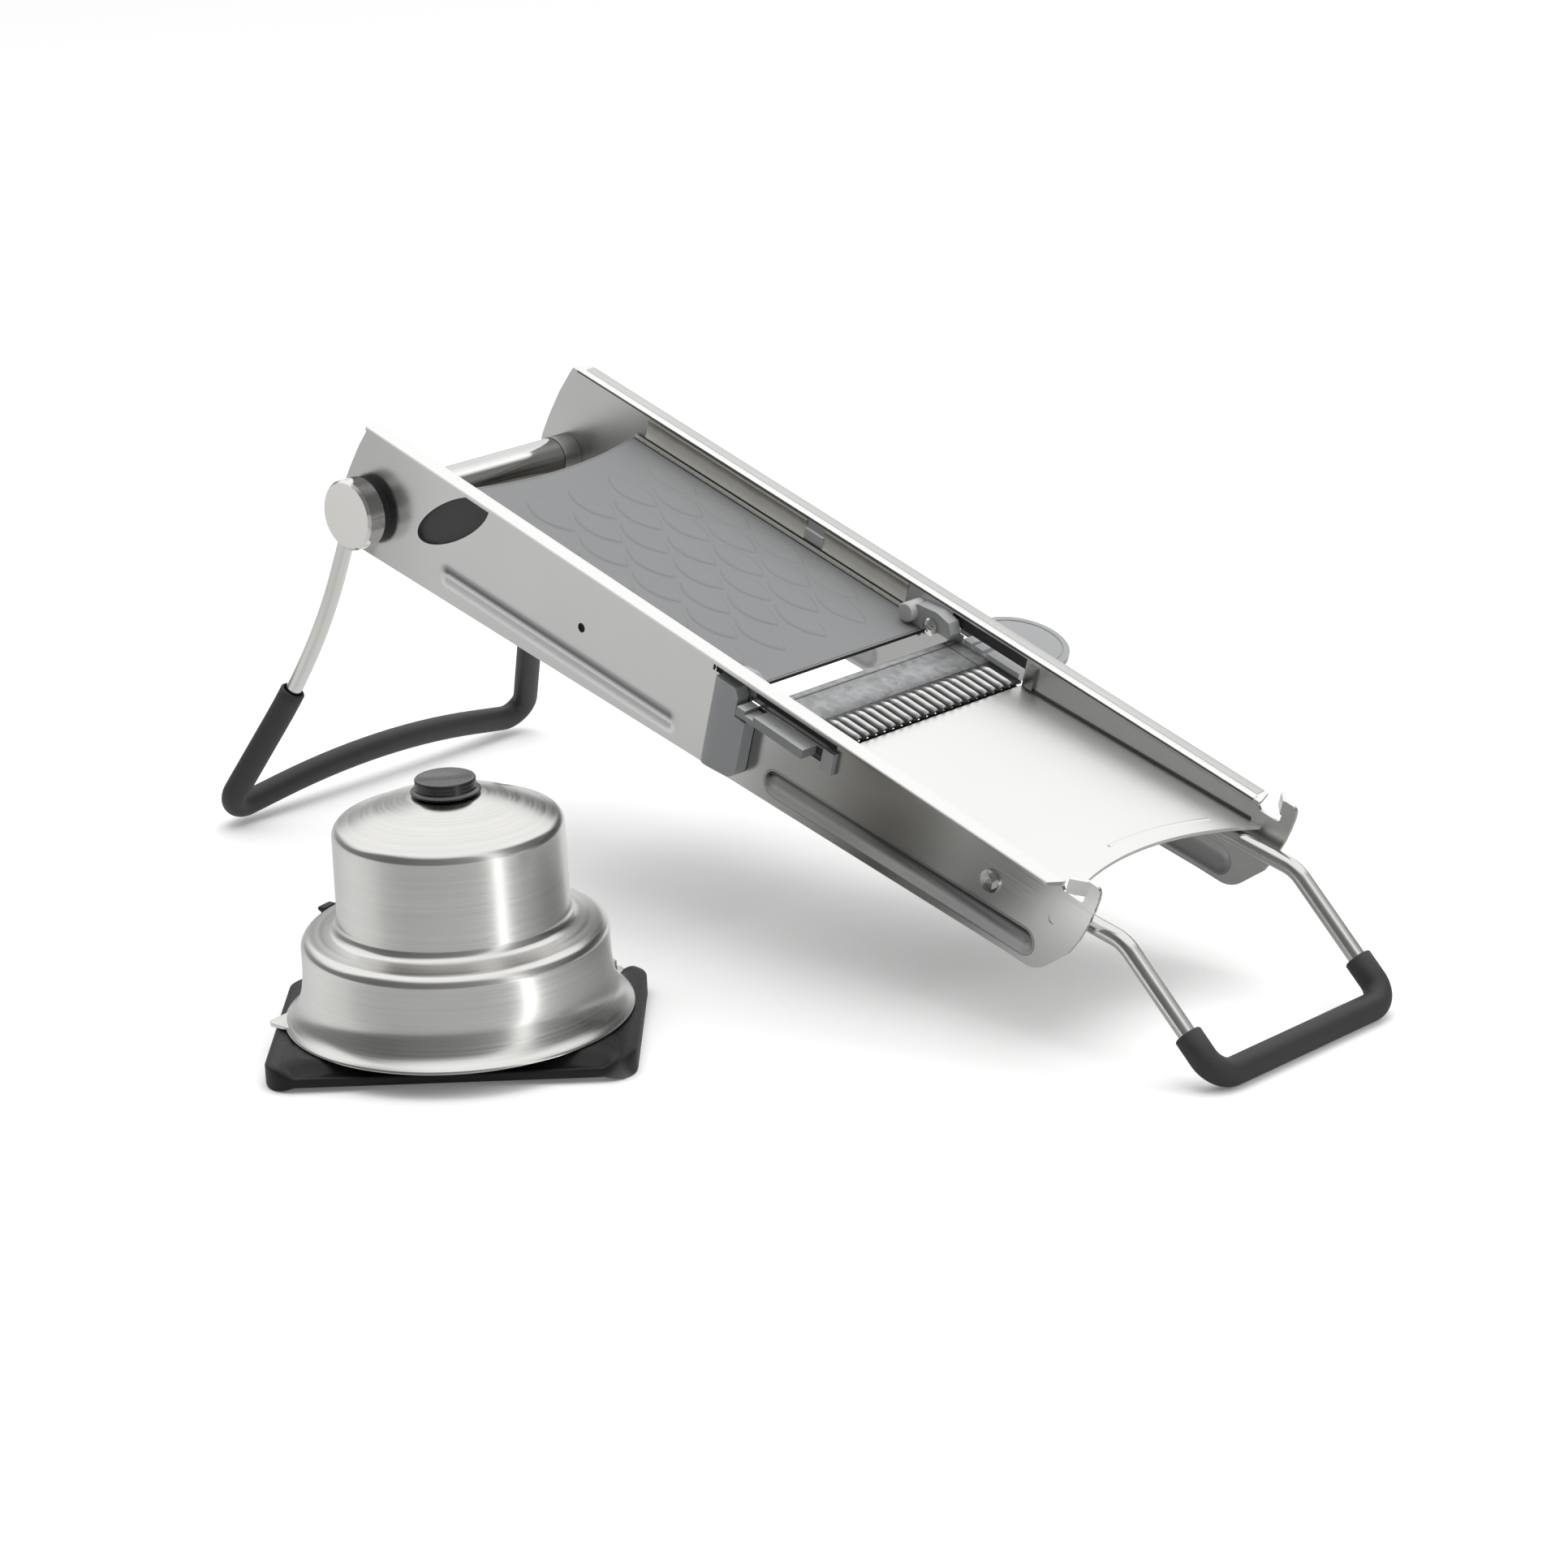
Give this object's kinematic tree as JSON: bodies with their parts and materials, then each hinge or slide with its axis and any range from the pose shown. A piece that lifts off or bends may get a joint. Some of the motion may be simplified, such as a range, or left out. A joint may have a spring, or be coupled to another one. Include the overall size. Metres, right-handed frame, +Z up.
{
  "type": "mandoline slicer",
  "caption": "Steel mandoline slicer on folding wire legs, with a height-adjustable coated ramp, a removable blade and a separate drum-shaped food pusher.",
  "frame": {"origin": "on the floor, in the middle between the side plates, straight below the high end of the rails", "axes": "+X from the high end to the low end along the floor, +Y away from the lever side, +Z up"},
  "size_m": [0.5425, 0.3688, 0.1891],
  "materials": {
    "steel": "brushed",
    "blade_steel": "ground",
    "drum_steel": "brushed round the axis",
    "polished": "polished",
    "coating": "matte non-stick coating",
    "cast": "satin cast",
    "rubber": "matte",
    "plastic": "fine matte"
  },
  "bodies": {
    "frame": {"near_side_plate": "steel", "far_side_plate": "steel", "near_window_lug": "steel", "far_window_lug": "steel", "landing_plate": "steel", "cross_tube": "polished", "tube_rings": "polished", "near_washer": "rubber", "far_washer": "rubber", "ramp_pivot_pins": "steel", "front_pivot_bolts": "polished", "front_pivot_nuts": "steel", "near_ramp_bracket": "cast", "far_ramp_bracket": "cast", "ramp_screws": "polished"},
    "rear_leg": {"near_hub": "polished", "far_hub": "polished", "rear_leg_rod": "steel", "rear_leg_sleeve": "rubber"},
    "front_leg": {"front_leg_rod": "steel", "front_leg_sleeve": "rubber"},
    "ramp": {"ramp_plate": "coating", "thickness_lever": "cast"},
    "blade": {"blade_plate": "blade_steel", "near_blade_bar": "cast", "far_blade_bar": "cast", "blade_grip": "cast"},
    "pusher": {"pusher_shell": "drum_steel", "pusher_carriage": "plastic", "pusher_latch": "plastic"},
    "plunger": {"pusher_cap": "plastic", "pusher_stem": "polished", "pusher_disc": "plastic", "pusher_nut": "steel"}
  },
  "joints": [
    {"name": "rear_leg_fold", "type": "hinge", "parent": "frame", "child": "rear_leg", "pos_m": [-0.00662, 0, 0.14947], "axis": [0, -1, 0], "range_deg": [0, 90]},
    {"name": "front_leg_fold", "type": "hinge", "parent": "frame", "child": "front_leg", "pos_m": [0.3453, 0, 0.06193], "axis": [0, 1, 0], "range_deg": [0, 160]},
    {"name": "ramp_height", "type": "hinge", "parent": "frame", "child": "ramp", "pos_m": [0.07412, 0, 0.1446], "axis": [0, 1, 0], "range_deg": [0, 4]},
    {"name": "blade_slide", "type": "slide", "parent": "frame", "child": "blade", "axis": [0, 1, 0], "range_m": [0, 0.13]},
    {"name": "pusher_lift", "type": "slide", "parent": "frame", "child": "pusher", "axis": [0, 0, 1], "range_m": [0, 0.12]},
    {"name": "plunger_slide", "type": "slide", "parent": "pusher", "child": "plunger", "axis": [0, 0, 1], "range_m": [0, 0.055]}
  ]
}
